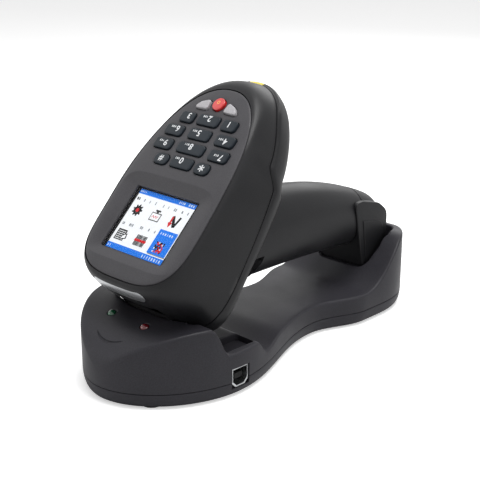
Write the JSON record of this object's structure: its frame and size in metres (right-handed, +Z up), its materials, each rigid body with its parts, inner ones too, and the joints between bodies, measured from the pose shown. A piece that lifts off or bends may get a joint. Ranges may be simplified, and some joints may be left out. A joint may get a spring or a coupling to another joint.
{
  "type": "portable barcode data terminal",
  "caption": "Pistol-grip data terminal with an egg-shaped keypad and screen face, resting in a long waisted charging cradle; it lifts out, and its keys, trigger and charge pins move.",
  "frame": {"origin": "centre of the cradle's footprint on the surface it stands on, below the middle of the whole object's bounding box", "axes": "+Z up, +Y towards the handle's end cap and the rear hump, -Y towards the front hump with the status lamps, +X towards the side with the USB port"},
  "size_m": [0.0984, 0.24, 0.1556],
  "materials": {
    "cradle_plastic": "satin",
    "terminal_plastic": "satin",
    "face_plastic": "fine texture",
    "key_plastic": "satin",
    "function_key_plastic": "satin",
    "power_key_plastic": "gloss",
    "black_plastic": "matt",
    "rubber": "matt",
    "screw_steel": "bright zinc plating",
    "ballast_steel": "plain",
    "port_steel": "bright",
    "contact_brass": "gold plated",
    "board_laminate": "solder mask",
    "badge_metal": "satin",
    "lens_yellow": "translucent",
    "lamp_green": "gloss",
    "lamp_red": "gloss",
    "window_glass": "clear",
    "display_panel": "backlit",
    "scan_glass": "dark red, gloss",
    "cell_sleeve": "shrink sleeve"
  },
  "bodies": {
    "cradle": {"cradle_housing": "cradle_plastic", "cradle_base": "cradle_plastic", "rubber_feet": "rubber", "base_screws": "screw_steel", "ballast_plate": "ballast_steel", "cradle_board": "board_laminate", "board_pillar_screws": "screw_steel", "usb_shell": "port_steel", "usb_tongue": "black_plastic", "led_green": "lamp_green", "led_red": "lamp_red", "contact_block": "black_plastic"},
    "terminal": {"head_upper_shell": "terminal_plastic", "head_lower_shell": "terminal_plastic", "head_screws": "screw_steel", "face_plate": "face_plastic", "name_badge": "badge_metal", "indicator_lens": "lens_yellow", "display_window": "window_glass", "lcd_panel": "display_panel", "keypad_sheet": "rubber", "main_board": "board_laminate", "board_screws": "screw_steel", "buzzer": "black_plastic", "scan_window": "scan_glass", "scan_engine": "black_plastic", "engine_bracket": "screw_steel", "handle_left_shell": "terminal_plastic", "handle_right_shell": "terminal_plastic", "handle_screws": "screw_steel", "handle_end_cap": "terminal_plastic", "charge_contacts": "contact_brass", "battery": "cell_sleeve", "trigger_pin": "screw_steel", "trigger_spring": "screw_steel", "trigger_switch": "black_plastic", "switch_board": "board_laminate"},
    "trigger_lever": {"trigger": "black_plastic"},
    "key_1_cap": {"key_1": "key_plastic"},
    "key_2_cap": {"key_2": "key_plastic"},
    "key_3_cap": {"key_3": "key_plastic"},
    "key_4_cap": {"key_4": "key_plastic"},
    "key_5_cap": {"key_5": "key_plastic"},
    "key_6_cap": {"key_6": "key_plastic"},
    "key_7_cap": {"key_7": "key_plastic"},
    "key_8_cap": {"key_8": "key_plastic"},
    "key_9_cap": {"key_9": "key_plastic"},
    "key_star_cap": {"key_star": "key_plastic"},
    "key_0_cap": {"key_0": "key_plastic"},
    "key_hash_cap": {"key_hash": "key_plastic"},
    "key_left_cap": {"key_left": "function_key_plastic"},
    "key_right_cap": {"key_right": "function_key_plastic"},
    "key_power_cap": {"key_power": "power_key_plastic"},
    "charge_pin_1_plunger": {"charge_pin_1": "contact_brass"},
    "charge_pin_2_plunger": {"charge_pin_2": "contact_brass"},
    "charge_pin_3_plunger": {"charge_pin_3": "contact_brass"},
    "charge_pin_4_plunger": {"charge_pin_4": "contact_brass"}
  },
  "joints": [
    {"name": "terminal_lift", "type": "slide", "parent": "cradle", "child": "terminal", "axis": [0, 0, 1], "range_m": [0, 0.12]},
    {"name": "trigger_pull", "type": "hinge", "parent": "terminal", "child": "trigger_lever", "pos_m": [0, -0.035, 0.062], "axis": [1, 0, 0], "range_deg": [0, 6], "stiffness_Nm_per_rad": 1.2, "springref_deg": -8.02},
    {"name": "key_1_press", "type": "slide", "parent": "terminal", "child": "key_1_cap", "axis": [0, 0.7009, -0.7133], "range_m": [0, 0.0008], "stiffness_N_per_m": 400, "springref_m": -0.0015},
    {"name": "key_2_press", "type": "slide", "parent": "terminal", "child": "key_2_cap", "axis": [0, 0.7009, -0.7133], "range_m": [0, 0.0008], "stiffness_N_per_m": 400, "springref_m": -0.0015},
    {"name": "key_3_press", "type": "slide", "parent": "terminal", "child": "key_3_cap", "axis": [0, 0.7009, -0.7133], "range_m": [0, 0.0008], "stiffness_N_per_m": 400, "springref_m": -0.0015},
    {"name": "key_4_press", "type": "slide", "parent": "terminal", "child": "key_4_cap", "axis": [0, 0.7009, -0.7133], "range_m": [0, 0.0008], "stiffness_N_per_m": 400, "springref_m": -0.0015},
    {"name": "key_5_press", "type": "slide", "parent": "terminal", "child": "key_5_cap", "axis": [0, 0.7009, -0.7133], "range_m": [0, 0.0008], "stiffness_N_per_m": 400, "springref_m": -0.0015},
    {"name": "key_6_press", "type": "slide", "parent": "terminal", "child": "key_6_cap", "axis": [0, 0.7009, -0.7133], "range_m": [0, 0.0008], "stiffness_N_per_m": 400, "springref_m": -0.0015},
    {"name": "key_7_press", "type": "slide", "parent": "terminal", "child": "key_7_cap", "axis": [0, 0.7009, -0.7133], "range_m": [0, 0.0008], "stiffness_N_per_m": 400, "springref_m": -0.0015},
    {"name": "key_8_press", "type": "slide", "parent": "terminal", "child": "key_8_cap", "axis": [0, 0.7009, -0.7133], "range_m": [0, 0.0008], "stiffness_N_per_m": 400, "springref_m": -0.0015},
    {"name": "key_9_press", "type": "slide", "parent": "terminal", "child": "key_9_cap", "axis": [0, 0.7009, -0.7133], "range_m": [0, 0.0008], "stiffness_N_per_m": 400, "springref_m": -0.0015},
    {"name": "key_star_press", "type": "slide", "parent": "terminal", "child": "key_star_cap", "axis": [0, 0.7009, -0.7133], "range_m": [0, 0.0008], "stiffness_N_per_m": 400, "springref_m": -0.0015},
    {"name": "key_0_press", "type": "slide", "parent": "terminal", "child": "key_0_cap", "axis": [0, 0.7009, -0.7133], "range_m": [0, 0.0008], "stiffness_N_per_m": 400, "springref_m": -0.0015},
    {"name": "key_hash_press", "type": "slide", "parent": "terminal", "child": "key_hash_cap", "axis": [0, 0.7009, -0.7133], "range_m": [0, 0.0008], "stiffness_N_per_m": 400, "springref_m": -0.0015},
    {"name": "key_left_press", "type": "slide", "parent": "terminal", "child": "key_left_cap", "axis": [0, 0.7009, -0.7133], "range_m": [0, 0.0008], "stiffness_N_per_m": 400, "springref_m": -0.0015},
    {"name": "key_right_press", "type": "slide", "parent": "terminal", "child": "key_right_cap", "axis": [0, 0.7009, -0.7133], "range_m": [0, 0.0008], "stiffness_N_per_m": 400, "springref_m": -0.0015},
    {"name": "key_power_press", "type": "slide", "parent": "terminal", "child": "key_power_cap", "axis": [0, 0.7009, -0.7133], "range_m": [0, 0.0008], "stiffness_N_per_m": 400, "springref_m": -0.0015},
    {"name": "charge_pin_1_press", "type": "slide", "parent": "cradle", "child": "charge_pin_1_plunger", "axis": [0, 0, -1], "range_m": [0, 0.0008], "stiffness_N_per_m": 150, "springref_m": -0.0015},
    {"name": "charge_pin_2_press", "type": "slide", "parent": "cradle", "child": "charge_pin_2_plunger", "axis": [0, 0, -1], "range_m": [0, 0.0008], "stiffness_N_per_m": 150, "springref_m": -0.0015},
    {"name": "charge_pin_3_press", "type": "slide", "parent": "cradle", "child": "charge_pin_3_plunger", "axis": [0, 0, -1], "range_m": [0, 0.0008], "stiffness_N_per_m": 150, "springref_m": -0.0015},
    {"name": "charge_pin_4_press", "type": "slide", "parent": "cradle", "child": "charge_pin_4_plunger", "axis": [0, 0, -1], "range_m": [0, 0.0008], "stiffness_N_per_m": 150, "springref_m": -0.0015}
  ]
}
